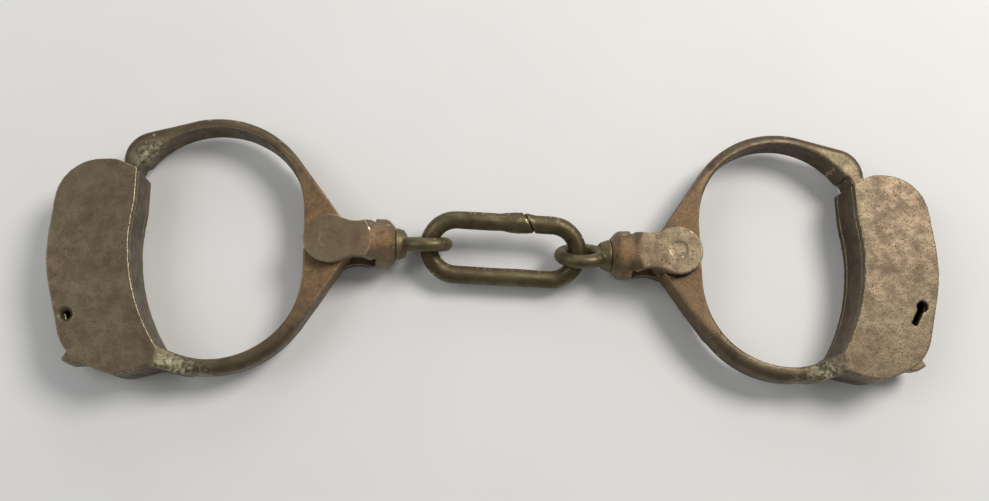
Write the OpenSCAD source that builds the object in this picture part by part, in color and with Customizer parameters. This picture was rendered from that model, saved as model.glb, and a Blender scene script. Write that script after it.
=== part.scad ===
// A pair of ratchet handcuffs with one swivel link between the cuffs.
// The origin is under the middle of the link, on the surface that the cuffs lie on.
// One cuff is drawn in its own frame, with the hinge pin on Z, the lock case towards +X and
// the shackle towards +Y. The right cuff shows its keyhole plate upwards. The left cuff is the
// same cuff turned half round Y, so it shows its back.

/* [Overall] */
// Distance between the two hinge pins along X
hinge_spacing = 100.5; // [98:0.5:121]
// How far the left hinge lies in front of the right one along Y
hinge_stagger = 3.4; // [0:0.2:4]

/* [Lock case] */
// Total thickness of a lock case
case_thickness = 15.5; // [14.5:0.1:18.6]
// Distance from the hinge to the wrist side of the case
wall_radius = 55; // [54:0.5:55.5]
// Distance from the hinge to the outermost point of the case
case_reach = 77.1; // [76.1:0.2:92.5]
// Height of the case's shoulder beside the mouth, above the hinge
case_top = 22.6; // [21.5:0.1:23.5]
// Depth of the case's foot below the hinge
case_foot = 38.3; // [38:0.1:39.5]
// Thickness of each face plate
plate_thickness = 2.4; // [1.8:0.1:2.8]
// Thickness of the case's outer wall
wall = 2.6; // [2:0.1:3]

/* [Bows] */
// Inner radius of both bows
bow_radius = 25.3; // [24.5:0.1:26]
// Distance from the hinge to the middle of the bows
bow_middle = 32.6; // [32:0.1:33.5]
// Height of the bows' middle points above and below the hinge
bow_rise = 8.4; // [7.5:0.1:9]
// Radial thickness of the fixed bow and of the toothed tongue
bow_thickness = 4.2; // [3.6:0.1:5]
// Radial thickness of the shackle's top
shackle_thickness = 3.3; // [3:0.1:3.8]
// Height of the bows and of the toothed tongue
bow_height = 9.4; // [8:0.1:10]
// Rounding of the bows' two outer edges
bow_rounding = 2.6; // [1:0.1:3.2]

/* [Lock] */
// Radius of the tongue's smooth inner edge, from the hinge
tongue_radius = 58.8; // [58.6:0.1:59.2]
// How far the tongue reaches below the hinge line, in degrees
tongue_reach = 20; // [14:1:24]
// Angle of one ratchet tooth, in degrees
tooth_pitch = 3; // [2.5:0.1:3.6]
// Depth of one ratchet tooth
tooth_depth = 1.1; // [0.8:0.1:1.3]
// Height of the ratchet bolt
bolt_height = 7; // [5:0.5:8]
// Radius of the bolt's pivot pin
pivot_radius = 1.5; // [1.2:0.1:1.7]
// Radius of the keyhole's round part
keyhole_radius = 1.6; // [1.4:0.1:2]
// Width of the keyhole's slot
key_slot_width = 1.7; // [1.4:0.1:2]
// Length of the keyhole's slot from the middle of its round part
key_slot_reach = 6.1; // [5:0.1:6.6]
// Length of the release tab along the case's edge
button_length = 6.4; // [5.6:0.1:6.8]
// Height of the release tab
button_height = 5; // [4:0.1:6]

/* [Hinge and swivel] */
// Radius of the hinge fork's two ears
ear_radius = 7.1; // [6.9:0.1:7.5]
// Radius of the hinge pin
pin_radius = 2.6; // [2:0.1:3.2]
// Width of the fork's neck
neck_width = 10.2; // [9.6:0.1:10.8]
// Largest radius of the fork's barrel
barrel_radius = 7.2; // [6.6:0.1:7.4]
// Radius of the swivel's shank
shank_radius = 1.9; // [1.5:0.1:2.4]
// Radius of the swivel eye's middle circle
eye_radius = 5.9; // [5.8:0.1:5.9]
// Radius of the wire of the swivel eye
eye_wire = 2; // [1.8:0.1:2]
// Tilt of the right eye out of the flat, in degrees
right_eye_tilt = 60; // [60:1:90]
// Tilt of the left eye out of the flat, in degrees
left_eye_tilt = 75; // [60:1:90]

/* [Link] */
// Radius of the link's bar
link_bar = 2.6; // [2.2:0.1:2.6]
// Radius of the middle line of the link's round ends
link_end_radius = 8; // [7.9:0.1:9]
// How far the link is rolled about its length, in degrees
link_roll = 18; // [14:1:22]

/* [Hidden] */
$fn = 96;

// Clearances
turn_gap = 0.05;      // a pin or shank in its bore, measured on the radius
lap_gap = 0.1;        // between the two halves of the hinge knuckle
side_gap = 0.15;      // between the knuckle and each ear
knuckle_gap = 0.3;    // round the edge of a knuckle
channel_gap = 0.5;    // between the tongue and the channel it runs in
tooth_gap = 0.2;      // between the bolt's nose and the teeth
mouth_gap = 0.25;     // between the shackle's shoulder and the case

// Case and bows
middle = case_thickness / 2;
frame_height = case_thickness - 2 * plate_thickness;
knuckle_radius = ear_radius - 0.3;
mouth_angle = 21.3;
mouth_inner = 54;
mouth_height = 20.4;
foot_angle = 33;
foot_tip = [46.2, -case_foot + 2.4];
ramp_length = 7;
fixed_run = foot_tip[0] - bow_middle - ramp_length + 0.5;
shackle_slope = 15;    // of the straight run that falls towards the mouth
shackle_run = 13.2;
shackle_corner = 8.8;
shackle_depth = 8;
shackle_end = 15;      // how far the corner turns past the mouth before it is cut
flare_step = 0.15;
flare_lap = 1.5;
run_step = 0.02;
run_lap = 0.7;
bow_spare = 3;         // how far a bow's blank reaches into the wrist opening

// Tongue, bolt and button
tongue_outer = tongue_radius + bow_thickness;
channel_inner = tongue_radius - channel_gap;
channel_outer = tongue_outer + channel_gap;
bolt_pivot_at = [case_reach - 11.1, -24.5];
nose_angle = -6;
nose_radius = tongue_outer + tooth_gap;
shoulder_angle = mouth_angle + mouth_gap / tongue_radius * 180 / PI;
blind_depth = 1.2;
boss_radius = 2.6;
rivet_radius = 1.3;
rivet_spots = [
  [case_reach - 10.3, case_top - 4],
  [case_reach - 4.3, -10.5],
  [53.5, -case_foot + 4.9]
];
keyhole_at = [case_reach - 6.4, -16.8];
key_slot_turn = -120;
pin_hole_at = [case_reach - 6.6, -21.7];
pin_hole_radius = 1.2;
stud_at = [case_reach - 6, 9.5];
stud_radius = 1.4;
button_at = [case_reach - 8.3, -case_foot + 5.1];
button_turn = -62;
button_proud = 2;
button_slot = button_length + 1.8;

// Fork, swivel and link
slot_height = bow_height + 2 * side_gap;
slot_end = ear_radius + 6;
barrel_end = slot_end + 5.8;
barrel_face = 4.9;
neck_bend = 9;
head_radius = 3.3;
head_thickness = 1.8;
washer_thickness = 0.8;
eye_base = 4.8;
eye_base_length = 3.6;
eye_at = barrel_end + 2.6 + eye_radius;
link_play = 1;
link_reach = hinge_spacing / 2 - eye_at - link_play;
link_turn = -atan(hinge_stagger / (2 * link_reach)) * 0.75;

// ---- Outlines ----

function unit(v) = v / norm(v);

// The round stretch that replaces corner q between its neighbours p and s.
function bend(p, q, s, r, steps = 12) =
  let (
    u = unit(p - q),
    v = unit(s - q),
    half = acos(u * v) / 2,
    centre = q + unit(u + v) * r / sin(half),
    from = q + u * r / tan(half) - centre,
    to = q + v * r / tan(half) - centre,
    start = atan2(from[1], from[0]),
    sweep = (atan2(to[1], to[0]) - start + 540) % 360 - 180
  )
  [for (i = [0:steps]) centre + r * [cos(start + sweep * i / steps), sin(start + sweep * i / steps)]];

// An outline from corners [x, y, radius]; a radius of 0 keeps the corner sharp.
function rounded(corners) =
  let (count = len(corners))
  [for (i = [0:count - 1])
    let (
      p = corners[(i + count - 1) % count],
      q = corners[i],
      s = corners[(i + 1) % count]
    )
    each q[2] == 0
      ? [[q[0], q[1]]]
      : bend([p[0], p[1]], [q[0], q[1]], [s[0], s[1]], q[2])];

function arc(radius, from, to, steps = 24) =
  [for (i = [0:steps]) let (a = from + (to - from) * i / steps) radius * [cos(a), sin(a)]];

// Outer corners of the case, from the mouth round the back to the foot.
function case_corners(inset = 0) = [
  [60.3, case_top + 0.6 - inset, 7 - inset],
  [case_reach - 2 - inset, case_top - 0.3 - inset, 12.5 - inset],
  [case_reach + 0.5 - inset, -6.5, 45 - inset],
  [case_reach - 6.5 - 0.9 * inset, -case_foot + 5.3 + 0.5 * inset, 14 - inset],
  [57, -case_foot + inset, 9 - inset]
];

module case_outline() {
  corners = concat(
    [[mouth_inner, mouth_height, 0]],
    case_corners(),
    [[foot_tip[0], foot_tip[1], 0]]
  );
  polygon(concat(rounded(corners), arc(wall_radius, -foot_angle, 10)));
}

module boss(spot) {
  translate(spot) circle(boss_radius);
}

// The hollow of the case: the tongue's channel and the room for the bolt.
module case_hollow() {
  difference() {
    polygon(rounded(concat(
      [[channel_inner - 6, mouth_height - wall, 0]],
      case_corners(wall),
      [[50, -case_foot + 5, 0]]
    )));
    circle(channel_inner);
    rotate(-foot_angle + 3) translate([channel_inner - 8, -14]) square([13, 14]);
    for (spot = rivet_spots) boss(spot);
  }
  intersection() {
    difference() {
      circle(channel_outer);
      circle(channel_inner);
    }
    polygon([[0, 0], [90, -10], [90, 70]]);
  }
}

// ---- Bows ----

// Direction in which a flare's outer line leaves the knuckle, for a bow of one outer radius.
function flare_angle(outer) = atan2(bow_rise, bow_middle)
  + acos((knuckle_radius - outer) / norm([bow_middle, bow_rise]));

// A bow's section: two rounded outer edges, and enough depth for the wrist opening to cut.
module bow_section(outer, depth, top = bow_height / 2) {
  polygon(rounded([
    [outer - depth, -top, 0],
    [outer, -top, bow_rounding],
    [outer, top, bow_rounding],
    [outer - depth, top, 0]
  ]));
}

// A bow's round stretch about its middle point, from the flare to an angle past the top.
module bow_arc(outer, to) {
  translate([bow_middle, bow_rise, middle]) rotate(to)
    rotate_extrude(angle = flare_angle(outer) - to) bow_section(outer, bow_spare + outer - bow_radius);
}

// A bow's straight run, which starts and ends inside the round stretches it joins.
module bow_run(outer, from, run, depth) {
  translate([bow_middle, bow_rise, middle]) rotate([90, 0, from])
    translate([0, 0, -run_lap]) linear_extrude(run + 2 * run_lap)
      bow_section(outer - run_step, depth, bow_height / 2 - run_step);
}

// The flat flare that widens from a bow to the hinge knuckle.
module flare(outer) {
  normal = [cos(flare_angle(outer)), sin(flare_angle(outer))];
  onward = [normal[1], -normal[0]] * flare_lap;
  translate([0, 0, middle - bow_height / 2]) linear_extrude(bow_height)
    polygon([
      [0, 0],
      (knuckle_radius - flare_step) * normal,
      [bow_middle, bow_rise] + (outer - flare_step) * normal + onward,
      [bow_middle, bow_rise] + onward
    ]);
}

module wrist_opening() {
  translate([bow_middle, bow_rise, -1]) cylinder(h = case_thickness + 2, r = bow_radius);
  translate([bow_middle - bow_radius, -bow_rise, -1])
    cube([bow_radius, 2 * bow_rise, case_thickness + 2]);
}

// Opens a bow for the wrist and gives it half of the hinge knuckle; low is true for the half
// that lies underneath.
module hinged(low) {
  half = bow_height / 2 - lap_gap / 2;
  own = low ? middle - bow_height / 2 : middle + lap_gap / 2;
  other = low ? middle - lap_gap / 2 : middle - bow_height / 2 - 1;
  difference() {
    union() children();
    wrist_opening();
    translate([0, 0, other])
      cylinder(h = bow_height / 2 + lap_gap + 1, r = knuckle_radius + knuckle_gap);
    cylinder(h = case_thickness, r = pin_radius + turn_gap);
  }
  translate([0, 0, own]) difference() {
    cylinder(h = half, r = knuckle_radius);
    translate([0, 0, -1]) cylinder(h = half + 2, r = pin_radius + turn_gap);
  }
}

// ---- Lock case ----

// The fixed bow, drawn upwards: a round stretch and a straight run to the case's foot.
module fixed_bow() {
  outer = bow_radius + bow_thickness;
  bow_arc(outer, 90);
  flare(outer);
  bow_run(outer, 90, fixed_run, bow_spare + bow_thickness);
}

module ramp() {
  foot_top = [wall_radius * cos(foot_angle), -wall_radius * sin(foot_angle)];
  tip = foot_tip[0];
  bottom = -bow_rise - bow_radius - bow_thickness;
  intersection() {
    linear_extrude(case_thickness)
      polygon([
        foot_top,
        foot_top + [-ramp_length - 2, -4],
        [tip - ramp_length - 2, bottom],
        [tip - ramp_length, bottom],
        foot_tip
      ]);
    translate([0, 0, middle]) rotate([90, 0, 0]) linear_extrude(2 * case_foot)
      polygon([
        [tip - ramp_length - 2, -bow_height / 2],
        [tip - ramp_length, -bow_height / 2],
        [foot_top[0], -middle],
        [tip, -middle],
        [tip, middle],
        [foot_top[0], middle],
        [tip - ramp_length, bow_height / 2],
        [tip - ramp_length - 2, bow_height / 2]
      ]);
  }
}

// The slot in the case's edge for the release tab, open towards the foot.
module button_opening() {
  translate([button_at[0], button_at[1], middle]) rotate(button_turn)
    translate([-6, -button_slot + button_length / 2 + side_gap, -button_height / 2 - side_gap])
      cube([12, button_slot, button_height + 2 * side_gap]);
}

module lock_frame() {
  color("#6b5d45") difference() {
    union() {
      mirror([0, 1, 0]) hinged(true) fixed_bow();
      difference() {
        ramp();
        translate([bow_middle, -bow_rise, -1]) cylinder(h = case_thickness + 2, r = bow_radius);
      }
      translate([0, 0, plate_thickness]) linear_extrude(frame_height) difference() {
        case_outline();
        case_hollow();
      }
    }
    for (spot = rivet_spots) translate(spot) cylinder(h = case_thickness, r = rivet_radius);
    button_opening();
  }
}

// A face plate; its children are what is cut through it.
module plate_blank(level) {
  translate([0, 0, level]) linear_extrude(plate_thickness) difference() {
    case_outline();
    for (spot = rivet_spots) translate(spot) circle(rivet_radius);
    children();
  }
}

module blind_holes(level) {
  translate([bolt_pivot_at[0], bolt_pivot_at[1], level])
    cylinder(h = blind_depth, r = pivot_radius);
  translate([stud_at[0], stud_at[1], level]) cylinder(h = blind_depth, r = stud_radius);
}

module front_plate() {
  level = case_thickness - plate_thickness;
  slot_start = keyhole_radius / 2;
  color("#857a62") difference() {
    plate_blank(level) translate(keyhole_at) {
      circle(keyhole_radius);
      rotate(key_slot_turn) translate([slot_start, -key_slot_width / 2])
        square([key_slot_reach - slot_start, key_slot_width]);
    }
    blind_holes(level);
  }
}

module back_plate() {
  sink = 0.9;
  color("#6f6450") difference() {
    plate_blank(0) translate(pin_hole_at) circle(pin_hole_radius);
    blind_holes(plate_thickness - blind_depth);
    translate([pin_hole_at[0], pin_hole_at[1], 0])
      cylinder(h = sink, r1 = pin_hole_radius + sink, r2 = pin_hole_radius);
  }
}

module plate_rivets() {
  color("#77694f") for (spot = rivet_spots)
    translate(spot) cylinder(h = case_thickness, r = rivet_radius);
}

// ---- Shackle ----

// One notch of the ratchet: a steep face that holds and a long slope that slips.
module notch(angle) {
  slope = angle + 0.92 * tooth_pitch;
  polygon([
    (tongue_outer + 1) * [cos(angle), sin(angle)],
    (tongue_outer - tooth_depth) * [cos(angle), sin(angle)],
    tongue_outer * [cos(slope), sin(slope)],
    (tongue_outer + 1) * [cos(slope), sin(slope)]
  ]);
}

// The toothed tongue; its plain root is narrower, so that it stays inside the shackle's end.
module tongue() {
  first = nose_angle - tooth_pitch * floor((tongue_reach + nose_angle) / tooth_pitch);
  end = shoulder_angle + 0.15;
  root = end + 3;
  translate([0, 0, middle - bow_height / 2]) linear_extrude(bow_height) difference() {
    polygon(concat(
      arc(tongue_outer, -tongue_reach, end),
      arc(tongue_outer - 1.8, end, root, 4),
      arc(tongue_radius, root, -tongue_reach)
    ));
    for (angle = [first:tooth_pitch:mouth_angle - 2 * tooth_pitch]) notch(angle);
  }
}

// The shackle's outer run: over the top, down a straight slope and round to the mouth.
module shackle_bow() {
  outer = bow_radius + shackle_thickness;
  slope = 90 - shackle_slope;
  bow_arc(outer, slope);
  flare(outer);
  bow_run(outer, slope, shackle_run, shackle_depth);
  translate([bow_middle, bow_rise, middle]) rotate(-shackle_slope) translate([shackle_run, 0, 0])
    rotate(shackle_slope) translate((outer - shackle_corner) * [cos(slope), sin(slope), 0])
      mirror([1, 0, 0]) rotate(180 - slope)
        rotate_extrude(angle = slope + shackle_end) bow_section(shackle_corner, shackle_corner - 0.5);
}

module shackle() {
  color("#7a6a50") union() {
    difference() {
      hinged(false) shackle_bow();
      // The shoulder that stops on the case beside the mouth.
      translate([0, 0, -1]) linear_extrude(case_thickness + 2)
        polygon([
          40 * [cos(shoulder_angle), sin(shoulder_angle)],
          80 * [cos(shoulder_angle), sin(shoulder_angle)],
          [80, 0],
          [40, 0]
        ]);
    }
    tongue();
  }
}

// ---- Bolt and button ----

// The bolt's nose, drawn where it just clears the teeth.
module nose() {
  back = nose_radius + 4.5;
  low = nose_angle + 0.25;
  high = nose_angle + tooth_pitch + 0.5;
  polygon([
    nose_radius * [cos(low), sin(low)],
    back * [cos(low - 0.5), sin(low - 0.5)],
    back * [cos(high + 1), sin(high + 1)],
    (nose_radius + 1.3) * [cos(high), sin(high)]
  ]);
}

module ratchet_bolt() {
  level = middle - bolt_height / 2;
  root = nose_radius + 3.1;
  head = root * [cos(nose_angle + 1), sin(nose_angle + 1)];
  tail = bolt_pivot_at + [-3.6, -5];
  color("#8c8a86") translate([0, 0, level]) linear_extrude(bolt_height) difference() {
    union() {
      nose();
      polygon([
        bolt_pivot_at + [-2.1, 0],
        bolt_pivot_at + [2.1, 0],
        head + [1.4, -1.5],
        head + [-1.2, -2.2]
      ]);
      translate(bolt_pivot_at) circle(2.9);
      polygon([
        bolt_pivot_at + [-2.9, 0],
        tail + [-1, -0.6],
        tail + [1.4, -0.8],
        bolt_pivot_at + [2, -1.5]
      ]);
    }
    translate(bolt_pivot_at) circle(pivot_radius + turn_gap);
  }
}

module bolt_pivot() {
  color("#a09c94") translate([bolt_pivot_at[0], bolt_pivot_at[1], plate_thickness - blind_depth])
    cylinder(h = frame_height + 2 * blind_depth, r = pivot_radius);
}

module spring_stud() {
  color("#a09c94") translate([stud_at[0], stud_at[1], plate_thickness - blind_depth])
    cylinder(h = frame_height + 2 * blind_depth, r = stud_radius);
}

// A flat spring, rolled round its stud, whose free end bears on the bolt's back.
module bolt_spring() {
  strip = 0.6;
  reach = 15.5;
  color("#5c6166") translate([stud_at[0], stud_at[1], middle - bolt_height / 2 + 0.5])
    linear_extrude(bolt_height - 1) difference() {
      union() {
        circle(stud_radius + strip);
        rotate(-90.5) translate([0, -stud_radius - strip]) square([reach, strip]);
      }
      circle(stud_radius);
    }
}

// A wedge-shaped thumb tab whose stem passes through the case's edge.
module release_button() {
  half = button_length / 2;
  stem = wall + 1;
  color("#4e463a") translate([button_at[0], button_at[1], middle]) rotate(button_turn)
    translate([0, 0, -button_height / 2]) linear_extrude(button_height)
      polygon(rounded([
        [-stem, -half, 0],
        [0, -half, 0],
        [button_proud, 0, 0.6],
        [button_proud, half + 0.5, 0.5],
        [0.9, half, 0],
        [-stem, half, 0]
      ]));
}

// ---- Hinge and swivel ----

// The fork seen from above: two round ears, a waist and the widening towards the barrel.
module fork_plan() {
  half = neck_width / 2;
  across = half + neck_bend;
  along = sqrt((ear_radius - half) * (ear_radius + half + 2 * neck_bend));
  start = atan2(across, along);
  steps = 12;
  side = [for (i = [0:steps]) let (a = 90 - start - (140 - start) * i / steps)
    [-along + neck_bend * sin(a), across - neck_bend * cos(a)]];
  polygon(concat(
    side,
    [[-barrel_end - 1, across], [-barrel_end - 1, -across]],
    [for (i = [steps:-1:0]) [side[i][0], -side[i][1]]],
    arc(ear_radius, start - 180, 180 - start, 60)
  ));
}

// The turned outline that the fork's flats fade into.
module fork_turning() {
  translate([0, 0, middle]) rotate([0, -90, 0]) rotate_extrude() polygon(rounded([
    [0, -ear_radius - 1, 0],
    [case_thickness, -ear_radius - 1, 0],
    [case_thickness, ear_radius - 3, 0],
    [barrel_radius + 0.1, slot_end - 0.6, 3],
    [barrel_radius, slot_end + 3.6, 2],
    [barrel_face, barrel_end, 1],
    [0, barrel_end, 0]
  ]));
}

module hinge_fork() {
  color("#6e5138") difference() {
    intersection() {
      linear_extrude(case_thickness) fork_plan();
      fork_turning();
    }
    translate([-slot_end, -ear_radius - 1, middle - slot_height / 2])
      cube([slot_end + 2 * ear_radius, 2 * ear_radius + 2, slot_height]);
    translate([0, 0, -1]) cylinder(h = case_thickness + 2, r = pin_radius);
    translate([0, 0, middle]) rotate([0, -90, 0])
      cylinder(h = barrel_end + 1, r = shank_radius + turn_gap);
  }
}

module hinge_pin() {
  color("#7f745c") cylinder(h = case_thickness, r = pin_radius);
}

module swivel_washer() {
  color("#6b6455") translate([-slot_end + 0.05 + washer_thickness, 0, middle]) rotate([0, -90, 0])
    difference() {
      cylinder(h = washer_thickness, r = head_radius + 0.4);
      translate([0, 0, -1]) cylinder(h = washer_thickness + 2, r = shank_radius + turn_gap);
    }
}

// The eye on its round base, with the shank, which is peened over inside the fork.
module swivel(tilt) {
  head = slot_end - washer_thickness - 0.1 - head_thickness;
  base = barrel_end + 0.1;
  color("#63533f") translate([0, 0, middle]) {
    difference() {
      translate([-head, 0, 0]) rotate([0, -90, 0]) {
        cylinder(h = head_thickness, r = head_radius);
        cylinder(h = base + 1 - head, r = shank_radius);
        translate([0, 0, base - head]) cylinder(h = eye_base_length, r1 = eye_base, r2 = eye_base - 1.2);
      }
      translate([-eye_at, 0, 0]) rotate([tilt, 0, 0])
        cylinder(h = 4 * eye_base, r = eye_radius, center = true);
    }
    translate([-eye_at, 0, 0]) rotate([tilt, 0, 0])
      rotate_extrude() translate([eye_radius, 0]) circle(eye_wire);
  }
}

// ---- Link ----

module link() {
  straight = 2 * (link_reach - link_end_radius);
  color("#6a5f4c") translate([0, 0, middle]) rotate([0, 0, link_turn]) rotate([link_roll, 0, 0]) {
    for (end = [0, 180]) rotate(end) {
      translate([straight / 2, 0, 0]) rotate(-90)
        rotate_extrude(angle = 180) translate([link_end_radius, 0]) circle(link_bar);
      translate([-straight / 2, link_end_radius, 0]) rotate([0, 90, 0])
        cylinder(h = straight, r = link_bar);
    }
  }
}

// ---- Places ----

module right() {
  translate([hinge_spacing / 2, -hinge_stagger / 2, 0]) children();
}

module left() {
  translate([-hinge_spacing / 2, hinge_stagger / 2, case_thickness]) rotate([0, 180, 0])
    children();
}

right() lock_frame();  // right_lock_frame
right() front_plate();  // right_front_plate
right() back_plate();  // right_back_plate
right() plate_rivets();  // right_plate_rivets
right() shackle();  // right_shackle
right() hinge_fork();  // right_hinge_fork
right() hinge_pin();  // right_hinge_pin
right() swivel(-right_eye_tilt);  // right_swivel
right() swivel_washer();  // right_swivel_washer
right() ratchet_bolt();  // right_ratchet_bolt
right() bolt_pivot();  // right_bolt_pivot
right() bolt_spring();  // right_bolt_spring
right() spring_stud();  // right_spring_stud
right() release_button();  // right_release_button
left() lock_frame();  // left_lock_frame
left() front_plate();  // left_front_plate
left() back_plate();  // left_back_plate
left() plate_rivets();  // left_plate_rivets
left() shackle();  // left_shackle
left() hinge_fork();  // left_hinge_fork
left() hinge_pin();  // left_hinge_pin
left() swivel(left_eye_tilt);  // left_swivel
left() swivel_washer();  // left_swivel_washer
left() ratchet_bolt();  // left_ratchet_bolt
left() bolt_pivot();  // left_bolt_pivot
left() bolt_spring();  // left_bolt_spring
left() spring_stud();  // left_spring_stud
left() release_button();  // left_release_button
link();
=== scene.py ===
"""Old iron ratchet handcuffs: two cuffs, each with a hinge fork and a swivel eye, and one link.

The CAD model is the frame. Here every outer piece gets its worn edges, pitting, weld and
corrosion as real mesh, and every piece gets its own aged metal.
"""
import math

import bpy
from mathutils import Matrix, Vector


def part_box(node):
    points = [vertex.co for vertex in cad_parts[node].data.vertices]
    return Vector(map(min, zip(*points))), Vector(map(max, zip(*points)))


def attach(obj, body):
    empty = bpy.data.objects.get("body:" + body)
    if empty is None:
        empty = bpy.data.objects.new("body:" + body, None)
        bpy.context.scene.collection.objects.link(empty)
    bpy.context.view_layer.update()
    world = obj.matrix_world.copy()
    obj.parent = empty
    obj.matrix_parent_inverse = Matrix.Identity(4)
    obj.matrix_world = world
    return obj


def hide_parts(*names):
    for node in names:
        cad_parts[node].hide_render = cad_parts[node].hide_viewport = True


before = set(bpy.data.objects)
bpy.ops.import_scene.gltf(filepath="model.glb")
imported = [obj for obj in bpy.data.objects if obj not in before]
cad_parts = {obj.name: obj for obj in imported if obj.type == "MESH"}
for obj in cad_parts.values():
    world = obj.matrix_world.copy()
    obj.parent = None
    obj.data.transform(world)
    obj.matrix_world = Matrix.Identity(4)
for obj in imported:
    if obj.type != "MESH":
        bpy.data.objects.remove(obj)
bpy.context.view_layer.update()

MM = 0.001
SIDES = ("right", "left")

# Sizes in millimetres: the grain of each skin, how far the hidden ends of rivets and pins lie
# under it, how deep the hinge pin's end is dished, the play between knuckle and ears, and the
# radius of the link's bar.
FINE_GRAIN = 0.28
COARSE_GRAIN = 0.36
LINK_GRAIN = 0.22
SUNK_ENDS = 0.6
PIN_DISH = 0.12
EAR_PLAY = 0.15
LINK_BAR = 2.6

# ---- Places taken from the frame ----


def box_middle(node):
    """The middle of a CAD node's box."""
    low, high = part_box(node)
    return (Vector(low) + Vector(high)) / 2


# The pair lies on the floor at 0, and both cases end at TOP; MIDDLE is in millimetres.
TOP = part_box("right_front_plate")[1][2]
MIDDLE = TOP / MM / 2
HINGE = {side: box_middle(f"{side}_hinge_pin") for side in SIDES}


def cuff_point(side, x, y, z=TOP / MM):
    """A point of one cuff in metres, from millimetres: x to its case, y to its shackle."""
    across = x if side == "right" else -x
    return Vector((HINGE[side].x + across * MM, HINGE[side].y + y * MM, z * MM))


# ---- Mesh work ----


def only(piece):
    """Selects one object and nothing else."""
    bpy.ops.object.select_all(action="DESELECT")
    piece.select_set(True)
    bpy.context.view_layer.objects.active = piece


def in_edit_mode(piece, *steps):
    """Runs edit-mode steps on everything in the piece."""
    only(piece)
    bpy.ops.object.mode_set(mode="EDIT")
    bpy.ops.mesh.select_all(action="SELECT")
    for step in steps:
        step()
    bpy.ops.object.mode_set(mode="OBJECT")


def finish_modifier(piece, kind, **settings):
    """Adds a modifier and applies it."""
    only(piece)
    modifier = piece.modifiers.new(kind.lower(), kind)
    for key, value in settings.items():
        setattr(modifier, key, value)
    bpy.ops.object.modifier_apply(modifier=modifier.name)


def copy_of(node, name):
    """A loose copy of a CAD node whose doubled vertices are merged."""
    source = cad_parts[node]
    piece = bpy.data.objects.new(name, source.data.copy())
    bpy.context.scene.collection.objects.link(piece)
    piece.data.materials.clear()
    in_edit_mode(piece, lambda: bpy.ops.mesh.remove_doubles(threshold=1e-6))
    return piece


def surface_noise(name, size, depth):
    """A procedural cloud texture for the displace modifier."""
    texture = bpy.data.textures.new(name, "CLOUDS")
    texture.noise_scale = size * MM
    texture.noise_depth = depth
    return texture


HAMMERED = surface_noise("hammered", 7, 1)
SCALED = surface_noise("scaled", 1.6, 4)
CRUSTED = surface_noise("crusted", 1.1, 3)


def weights(piece, name, strength_at):
    """A vertex group whose weight at each vertex is strength_at(position)."""
    group = piece.vertex_groups.new(name=name)
    for vertex in piece.data.vertices:
        strength = strength_at(vertex.co)
        if strength > 0:
            group.add([vertex.index], strength, "REPLACE")
    return group.name


def near(*points):
    """Weight that fades from 1 at each (point, radius) to 0 at the radius."""

    def strength(place):
        best = 0
        for point, radius in points:
            distance = (place - point).length / (radius * MM)
            best = max(best, 1 - distance * distance)
        return min(1, best)

    return strength


def wear(piece, grain, rounds=4, hammer=0.10, scale=0.05):
    """Turns a sharp CAD shape into an even, worn and slightly uneven skin."""
    finish_modifier(piece, "REMESH", mode="VOXEL", voxel_size=grain * MM)
    finish_modifier(piece, "SMOOTH", factor=0.5, iterations=rounds)
    finish_modifier(piece, "DISPLACE", texture=HAMMERED, strength=hammer * MM, mid_level=0.5)
    finish_modifier(piece, "DISPLACE", texture=SCALED, strength=scale * MM, mid_level=0.5)
    piece.data.polygons.foreach_set("use_smooth", [True] * len(piece.data.polygons))


def melt(piece, strength_at, rounds=40):
    """Softens a part of the skin much more than the rest."""
    group = weights(piece, "melt", strength_at)
    finish_modifier(piece, "SMOOTH", factor=0.5, iterations=rounds, vertex_group=group)


def raise_skin(piece, name, strength_at, amount, texture=None):
    """Pushes a part of the skin outwards, or inwards for a negative amount in millimetres."""
    group = weights(piece, name, strength_at)
    settings = {"strength": amount * MM, "mid_level": 0.0, "vertex_group": group}
    if texture:
        settings["texture"] = texture
    finish_modifier(piece, "DISPLACE", **settings)


def keep_beyond(piece, point, direction):
    """Cuts a piece with a plane and keeps what lies in its direction, closed."""

    def cut():
        bpy.ops.mesh.bisect(plane_co=point, plane_no=direction, clear_inner=True, use_fill=True)

    in_edit_mode(piece, cut)


def keep_above(piece, level):
    keep_beyond(piece, (0, 0, level), (0, 0, 1))


def keep_below(piece, level):
    keep_beyond(piece, (0, 0, level), (0, 0, -1))


def shorten(piece, amount):
    """Draws both ends of an upright piece in by an amount in millimetres."""
    share = 1 - 2 * amount * MM / TOP

    def squeeze():
        bpy.ops.transform.resize(value=(1, 1, share), center_override=(0, 0, TOP / 2))

    in_edit_mode(piece, squeeze)


def weld(piece, *others):
    """Joins loose pieces into one; the remesh that follows makes them one skin."""
    bpy.ops.object.select_all(action="DESELECT")
    for each in (*others, piece):
        each.select_set(True)
    bpy.context.view_layer.objects.active = piece
    bpy.ops.object.join()


def place(piece, node, body, material, slot):
    """Gives a piece its metal and lets it stand for a CAD node."""
    piece.data.materials.clear()
    piece.data.materials.append(material)
    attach(piece, body)
    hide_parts(node)
    return piece


# ---- Metal ----


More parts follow.
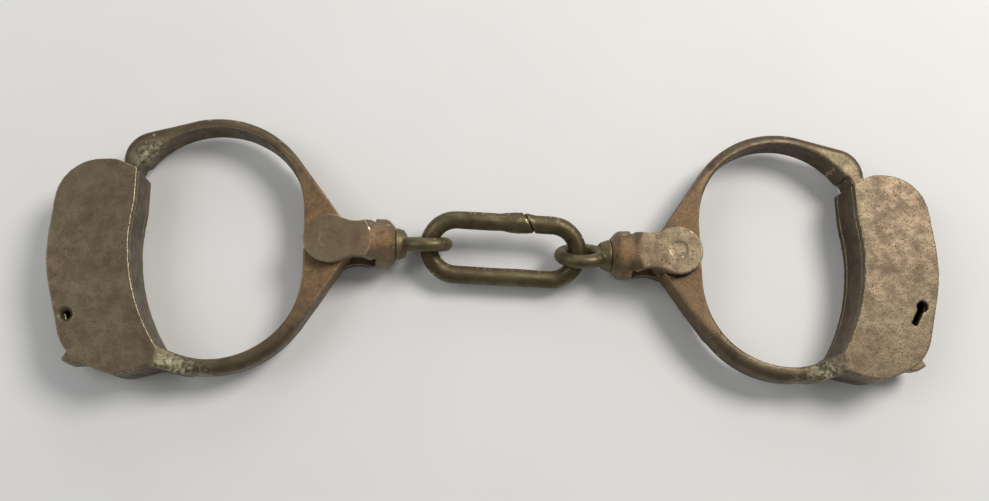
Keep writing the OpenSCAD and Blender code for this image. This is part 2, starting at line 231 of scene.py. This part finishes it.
class Paint:
    """Builds one metal from small named layers."""

    def __init__(self, name):
        self.material = bpy.data.materials.new(name)
        self.material.use_nodes = True
        self.tree = self.material.node_tree
        self.shader = self.tree.nodes["Principled BSDF"]
        self.place = self.node("ShaderNodeTexCoord").outputs["Object"]

    def node(self, kind, **settings):
        made = self.tree.nodes.new(kind)
        for key, value in settings.items():
            setattr(made, key, value)
        return made

    def feed(self, socket, value):
        """Links a socket, or sets its value."""
        if isinstance(value, bpy.types.NodeSocket):
            self.tree.links.new(value, socket)
        else:
            socket.default_value = value

    def noise(self, size, detail=4, rough=0.55, shift=0):
        """Cloudy noise whose blotches are about size millimetres wide."""
        moved = self.node("ShaderNodeMapping")
        self.feed(moved.inputs["Vector"], self.place)
        self.feed(moved.inputs["Location"], (shift, shift * 0.7, shift * 1.3))
        noise = self.node("ShaderNodeTexNoise")
        self.feed(noise.inputs["Vector"], moved.outputs["Vector"])
        self.feed(noise.inputs["Scale"], 1 / (size * MM))
        self.feed(noise.inputs["Detail"], detail)
        self.feed(noise.inputs["Roughness"], rough)
        return noise.outputs["Fac"]

    def band(self, value, low, high):
        """Maps value smoothly to 0 below low and to 1 above high."""
        band = self.node("ShaderNodeMapRange", interpolation_type="SMOOTHSTEP")
        self.feed(band.inputs["Value"], value)
        self.feed(band.inputs["From Min"], low)
        self.feed(band.inputs["From Max"], high)
        return band.outputs["Result"]

    def math(self, how, first, second=0.0):
        made = self.node("ShaderNodeMath", operation=how)
        self.feed(made.inputs[0], first)
        self.feed(made.inputs[1], second)
        return made.outputs["Value"]

    def times(self, first, second):
        return self.math("MULTIPLY", first, second)

    def mix(self, share, first, second):
        """Mixes two colours."""
        made = self.node("ShaderNodeMix", data_type="RGBA")
        self.feed(made.inputs["Factor"], share)
        self.feed(made.inputs["A"], first)
        self.feed(made.inputs["B"], second)
        return made.outputs["Result"]

    def blend(self, share, first, second):
        """Mixes two numbers."""
        made = self.node("ShaderNodeMix", data_type="FLOAT")
        self.feed(made.inputs["Factor"], share)
        self.feed(made.inputs["A"], first)
        self.feed(made.inputs["B"], second)
        return made.outputs["Result"]

    def nearness(self, point, radius):
        """1 at a point, fading to 0 at radius millimetres."""
        away = self.node("ShaderNodeVectorMath", operation="DISTANCE")
        self.feed(away.inputs[0], self.place)
        self.feed(away.inputs[1], tuple(point))
        return self.band(away.outputs["Value"], radius * MM, 0.0)

    def nearest(self, spots):
        """The strongest nearness to several (point, radius) spots."""
        result = self.nearness(*spots[0])
        for spot in spots[1:]:
            result = self.math("MAXIMUM", result, self.nearness(*spot))
        return result

    def edges(self):
        """1 on outer edges and corners."""
        return self.band(self.node("ShaderNodeNewGeometry").outputs["Pointiness"], 0.515, 0.57)

    def hollows(self):
        """1 in grooves and inner corners."""
        return self.band(self.node("ShaderNodeNewGeometry").outputs["Pointiness"], 0.485, 0.44)

    def relief(self, height, strength, depth):
        """Fine relief; depth is in millimetres."""
        bump = self.node("ShaderNodeBump")
        self.feed(bump.inputs["Height"], height)
        bump.inputs["Strength"].default_value = strength
        bump.inputs["Distance"].default_value = depth * MM
        self.feed(self.shader.inputs["Normal"], bump.outputs["Normal"])

    def finish(self, colour, rough, metal):
        """Feeds the shader and returns the finished material."""
        self.feed(self.shader.inputs["Base Color"], colour)
        self.feed(self.shader.inputs["Roughness"], rough)
        self.feed(self.shader.inputs["Metallic"], metal)
        return self.material


def rgb(red, green, blue):
    """A linear colour from 0 to 255 screen values."""
    parts = [value / 255 for value in (red, green, blue)]
    return tuple(p / 12.92 if p <= 0.04045 else ((p + 0.055) / 1.055) ** 2.4 for p in parts) + (1.0,)


DARK = rgb(74, 62, 47)
BROWN = rgb(97, 81, 62)
OLIVE = rgb(103, 94, 70)
RUST = rgb(114, 78, 46)
OCHRE = rgb(142, 112, 68)
BRIGHT = rgb(198, 184, 148)
PIT = rgb(36, 27, 20)
CHALK = rgb(176, 174, 142)
VERDIGRIS = rgb(124, 126, 96)


def patina(paint, tones, blotch, fine, shift):
    """Dark to light blotches with a broad tint and light flecks."""
    dark, light, tint = tones
    broad = paint.noise(16, 3, shift=shift)
    colour = paint.mix(paint.band(blotch, 0.25, 0.75), dark, light)
    colour = paint.mix(paint.times(paint.band(broad, 0.4, 0.66), 0.5), colour, tint)
    return paint.mix(paint.times(paint.band(fine, 0.5, 0.78), 0.4), colour, light)


def rust_share(paint, rusty, rust_spots, blotch, shift):
    """How much of the iron is rust: scattered patches, and more at the given spots."""
    patches = paint.noise(5.5, 7, 0.68, shift=shift + 0.9)
    start = 0.62 - 0.22 * rusty
    share = paint.times(paint.band(patches, start, start + 0.18), rusty)
    if rust_spots:
        zone = paint.times(paint.nearest(rust_spots), paint.band(blotch, 0.25, 0.6))
        share = paint.math("MAXIMUM", share, zone)
    return share


def rubbed_share(paint, worn, fine):
    """Where the iron is rubbed bright: along its edges, and in small specks."""
    edges = paint.times(paint.times(paint.edges(), paint.band(fine, 0.3, 0.62)), worn)
    specks = paint.times(paint.band(fine, 0.735, 0.80), 0.7)
    return paint.math("MAXIMUM", edges, specks)


def crusted(paint, looks, crust_spots, shift):
    """Pale green and chalky crust at the given spots, over a colour, roughness and metal."""
    colour, rough, metal = looks
    flakes = paint.band(paint.noise(1.1, 4, 0.6, shift=shift + 2.2), 0.44, 0.56)
    crust = paint.times(paint.nearest(crust_spots), flakes)
    crust_colour = paint.mix(paint.band(paint.noise(2.2, 3), 0.4, 0.6), VERDIGRIS, CHALK)
    thin = paint.times(crust, 0.7)
    return (
        paint.mix(crust, colour, crust_colour),
        paint.blend(thin, rough, 0.85),
        paint.blend(thin, metal, 0.05),
    )


def aged_iron(name, tones, rusty=0.35, rust_spots=(), crust_spots=(), worn=0.7, shine=0.75, shift=0.0):
    """Brown iron with a patchy patina, rust, worn bright edges, pits and pale specks."""
    paint = Paint(name)
    blotch = paint.noise(3.4, 6, 0.62, shift=shift + 0.3)
    fine = paint.noise(0.7, 5, 0.7, shift=shift + 0.6)
    pits = paint.band(paint.noise(0.55, 3, 0.6, shift=shift + 1.4), 0.40, 0.30)
    rust = rust_share(paint, rusty, rust_spots, blotch, shift)
    rubbed = rubbed_share(paint, worn, fine)

    colour = patina(paint, tones, blotch, fine, shift)
    colour = paint.mix(rust, colour, paint.mix(paint.band(fine, 0.35, 0.68), RUST, OCHRE))
    colour = paint.mix(paint.times(pits, 0.55), colour, PIT)
    colour = paint.mix(paint.times(paint.hollows(), 0.8), colour, PIT)
    colour = paint.mix(rubbed, colour, BRIGHT)

    rough = paint.blend(paint.band(blotch, 0.3, 0.7), 0.52, 0.38)
    rough = paint.blend(rust, rough, 0.78)
    rough = paint.blend(rubbed, rough, 0.26)
    metal = paint.blend(rust, shine, 0.15)
    metal = paint.blend(rubbed, metal, 1.0)
    looks = (colour, rough, metal)
    if crust_spots:
        looks = crusted(paint, looks, crust_spots, shift)

    height = paint.math("ADD", paint.times(blotch, 0.5), paint.times(fine, 0.35))
    paint.relief(paint.math("SUBTRACT", height, paint.times(pits, 0.45)), 0.45, 0.35)
    return paint.finish(*looks)


def bare_steel(name, colour, rough, grain):
    """Oiled steel inside the lock, with fine marks and a little brown."""
    paint = Paint(name)
    marks = paint.noise(grain, 5, 0.6)
    stain = paint.band(paint.noise(4, 4), 0.5, 0.72)
    darker = tuple(0.72 * part for part in colour[:3]) + (1,)
    tone = paint.mix(paint.band(marks, 0.35, 0.7), colour, darker)
    paint.relief(marks, 0.2, 0.05)
    return paint.finish(
        paint.mix(paint.times(stain, 0.6), tone, BROWN),
        paint.blend(marks, rough - 0.08, rough + 0.12),
        0.95,
    )


# ---- Camera, floor and light ----


def stand_camera():
    data = bpy.data.cameras.new("camera")
    data.sensor_width = 36
    data.lens = 36.4
    data.clip_start = 0.01
    data.clip_end = 20
    camera = bpy.data.objects.new("camera", data)
    camera.location = Vector((-23.4, -66.7, 292.0)) * MM
    camera.rotation_euler = [math.radians(angle) for angle in (13.2, -3.98, -0.84)]
    bpy.context.scene.collection.objects.link(camera)
    bpy.context.scene.camera = camera


def lay_floor():
    bpy.ops.object.select_all(action="DESELECT")
    bpy.ops.mesh.primitive_plane_add(size=6)
    floor = bpy.context.object
    floor.name = "floor"
    paint = Paint("floor_paper")
    tone = paint.mix(paint.noise(40, 2), rgb(216, 214, 210), rgb(210, 208, 204))
    paint.feed(paint.shader.inputs["Base Color"], tone)
    paint.shader.inputs["Roughness"].default_value = 0.9
    floor.data.materials.append(paint.material)


def hang_light(name, at, size, power, colour=(1, 1, 1)):
    data = bpy.data.lights.new(name, "AREA")
    data.shape = "DISK"
    data.size = size
    data.energy = power
    data.color = colour
    lamp = bpy.data.objects.new(name, data)
    lamp.location = at
    lamp.rotation_euler = (-Vector(at)).to_track_quat("-Z", "Y").to_euler()
    bpy.context.scene.collection.objects.link(lamp)


def light_studio():
    hang_light("key_light", (0.42, 0.30, 0.62), 0.34, 5.2, (1.0, 0.98, 0.95))
    hang_light("fill_light", (-0.55, 0.10, 0.60), 0.5, 1.6, (0.96, 0.98, 1.0))
    hang_light("back_light", (0.0, 0.75, 0.35), 0.4, 1.2)
    world = bpy.data.worlds.new("soft_room")
    world.use_nodes = True
    world.node_tree.nodes["Background"].inputs["Color"].default_value = (0.85, 0.88, 0.92, 1)
    world.node_tree.nodes["Background"].inputs["Strength"].default_value = 0.34
    bpy.context.scene.world = world
    bpy.context.scene.view_settings.view_transform = "Standard"


stand_camera()
lay_floor()
light_studio()

# ---- The metals of this pair ----

IRON_TONES = (DARK, BROWN, OLIVE)
PLATE_TONES = (rgb(84, 71, 55), rgb(106, 90, 70), rgb(108, 98, 76))
EAR_TONES = (rgb(92, 76, 58), rgb(122, 104, 82), rgb(118, 110, 86))
LINK_TONES = (rgb(66, 56, 40), rgb(98, 86, 60), rgb(112, 104, 74))


def cuff_metals(side):
    """The finishes of one cuff, with rust by the hinge and crust where bow meets case."""
    hinge = (cuff_point(side, 6, 0), 34)
    barrel = (cuff_point(side, -15.5, 0), 7.5)
    crust = [(cuff_point(side, 41, -37), 9), (cuff_point(side, 34, -37, 8), 6)]
    mouth_crust = [(cuff_point(side, 50, 24, 12), 8)] if side == "left" else []
    shift = 0.0 if side == "right" else 3.7
    return {
        "case_iron": aged_iron(f"{side}_case_iron", IRON_TONES, 0.25, [hinge], crust, shift=shift),
        "plate_iron": aged_iron(
            f"{side}_plate_iron", PLATE_TONES, 0.1, (), crust, worn=0.9, shift=shift + 1
        ),
        "shackle_iron": aged_iron(
            f"{side}_shackle_iron", IRON_TONES, 0.3, [hinge], mouth_crust, shift=shift + 2
        ),
        "fork_iron": aged_iron(f"{side}_fork_iron", EAR_TONES, 0.25, [barrel], shift=shift + 3),
        "pin_iron": aged_iron(f"{side}_pin_iron", EAR_TONES, 0.3, shift=shift + 3),
        "eye_iron": aged_iron(f"{side}_eye_iron", LINK_TONES, 0.55, [barrel], shift=shift + 4),
        "rivet_iron": aged_iron(f"{side}_rivet_iron", PLATE_TONES, 0.1, shift=shift + 1),
        "dark_steel": aged_iron(f"{side}_button_iron", EAR_TONES, 0.4, worn=0.9, shift=shift + 5),
    }


METALS = {side: cuff_metals(side) for side in SIDES}
LINK_METAL = aged_iron("link_iron", LINK_TONES, 0.35, worn=0.8, shine=0.85, shift=9)
BARE_STEEL = bare_steel("bare_steel", rgb(170, 164, 152), 0.35, 0.5)
SPRING_STEEL = bare_steel("spring_steel", rgb(118, 122, 130), 0.3, 0.4)


# ---- The pieces ----


def worn_piece(side, part, body, slot, grain, rounds=4, soft=None, soft_rounds=40, fills=(), **skin):
    """One CAD piece with a worn skin; fills are loose pieces that become part of that skin."""
    node = f"{side}_{part}"
    piece = copy_of(node, f"{node}_worn")
    if fills:
        weld(piece, *fills)
    wear(piece, grain, rounds, **skin)
    if soft:
        melt(piece, soft, soft_rounds)
    return place(piece, node, f"{side}_{body}", METALS[side][slot], slot)


def flush_end(side, part, cut, level, sunk=0.0):
    """One end of the rivets or of a pin, cut off inside the plate or ear that it fills."""
    end = copy_of(f"{side}_{part}", f"{side}_{part}_end")
    if sunk:
        shorten(end, sunk)
    cut(end, level)
    return end


def foot_tail(side, cut, level):
    """The top of the ramp beside a plate's foot, which the plate's skin runs on to."""
    tail = copy_of(f"{side}_lock_frame", f"{side}_tail")
    cut(tail, level)
    keep_beyond(tail, cuff_point(side, 0, -25), (0, -1, 0))
    keep_beyond(tail, cuff_point(side, 47.2, 0), (-1 if side == "right" else 1, 0, 0))
    return tail


def hidden_piece(side, part, body, slot):
    """Rivets or a pin whose ends lie just under the skin that closes over them."""
    node = f"{side}_{part}"
    piece = copy_of(node, f"{node}_sunk")
    shorten(piece, SUNK_ENDS)
    return place(piece, node, f"{side}_{body}", METALS[side][slot], slot)


def make_frame(side):
    """The case wall with its bow; the ramp at the foot and the flare are melted soft."""
    foot = [(cuff_point(side, 42, -37, z), 11) for z in (0, 2 * MIDDLE)]
    flare = (cuff_point(side, 10, -26, MIDDLE), 12)
    piece = worn_piece(side, "lock_frame", "case", "case_iron", COARSE_GRAIN, soft=near(flare, *foot))
    raise_skin(piece, "crust", near((cuff_point(side, 40, -37, 12), 7)), 0.3, CRUSTED)


def make_plate(side, part, cut, level):
    """A face plate that closes over the rivets and runs on to the ramp at its foot."""
    fills = [flush_end(side, "plate_rivets", cut, level), foot_tail(side, cut, level)]
    tip = [(cuff_point(side, 45, -36.5, z), 6) for z in (1, 14.5)]
    tail = [(cuff_point(side, 42.5, -37, z), 4.5) for z in (1, 14.5)]
    plate = worn_piece(
        side, part, "case", "plate_iron", COARSE_GRAIN, 3, near(*tip), fills=fills, hammer=0.05
    )
    raise_skin(plate, "tail", near(*tail), 0.22)


def make_case(side):
    make_frame(side)
    low, high = "back_plate", "front_plate"
    if side == "left":
        low, high = high, low
    make_plate(side, high, keep_above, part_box(f"{side}_{high}")[0][2])
    make_plate(side, low, keep_below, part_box(f"{side}_{low}")[1][2])
    hidden_piece(side, "plate_rivets", "case", "rivet_iron")
    worn_piece(side, "release_button", "button", "dark_steel", FINE_GRAIN, 2, hammer=0.02)


def make_shackle(side):
    flare = (cuff_point(side, 10, 26, MIDDLE), 12)
    piece = worn_piece(side, "shackle", "shackle", "shackle_iron", COARSE_GRAIN, soft=near(flare))
    if side == "left":
        raise_skin(piece, "crust", near((cuff_point(side, 50, 29, 12), 6)), 0.2, CRUSTED)


def make_hinge(side):
    """The fork, whose ears close over the pin, and the swivel with its softened root."""
    low, high = (corner[2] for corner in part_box(f"{side}_shackle"))
    play = EAR_PLAY * MM
    ends = [
        flush_end(side, "hinge_pin", keep_above, high + play, PIN_DISH),
        flush_end(side, "hinge_pin", keep_below, low - play, PIN_DISH),
    ]
    worn_piece(side, "hinge_fork", "fork", "fork_iron", FINE_GRAIN, 3, fills=ends, hammer=0.05)
    hidden_piece(side, "hinge_pin", "fork", "pin_iron")
    root = (cuff_point(side, -22.6, 0, MIDDLE), 3.6)
    worn_piece(side, "swivel", "swivel", "eye_iron", FINE_GRAIN, 3, soft=near(root), soft_rounds=30)


def make_link():
    """The link, with the lump and the slanted crack of its forge weld."""
    piece = copy_of("link", "link_worn")
    wear(piece, LINK_GRAIN, 3, hammer=0.25, scale=0.08)
    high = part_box("link")[1]
    bar = Vector((0, high[1] - LINK_BAR * MM, high[2] - LINK_BAR * MM))
    lump = bar + Vector((4.2, -0.3, 0.3)) * MM
    raise_skin(piece, "lump", near((lump, 5.2)), 0.55)
    raise_skin(piece, "scale", near((lump, 6.0)), 0.35, CRUSTED)
    start = bar + Vector((7.0, 0, 0)) * MM
    lean = Vector((0.9, 0.42, 0.1)).normalized()
    half_width, reach = 0.38 * MM, 6 * MM

    def crack(place):
        away = abs((place - start).dot(lean)) / half_width
        return max(0, 1 - away) if (place - start).length < reach else 0

    raise_skin(piece, "crack", crack, -0.75)
    place(piece, "link", "link", LINK_METAL, "link_iron")


def paint_inner_works():
    """The lock's hidden works keep their CAD shape."""
    finishes = {"ratchet_bolt": BARE_STEEL, "bolt_pivot": BARE_STEEL, "spring_stud": BARE_STEEL,
                "swivel_washer": BARE_STEEL, "bolt_spring": SPRING_STEEL}
    for side in SIDES:
        for part, metal in finishes.items():
            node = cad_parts[f"{side}_{part}"]
            node.data.materials.clear()
            node.data.materials.append(metal)


for each_side in SIDES:
    make_case(each_side)
    make_shackle(each_side)
    make_hinge(each_side)
make_link()
paint_inner_works()
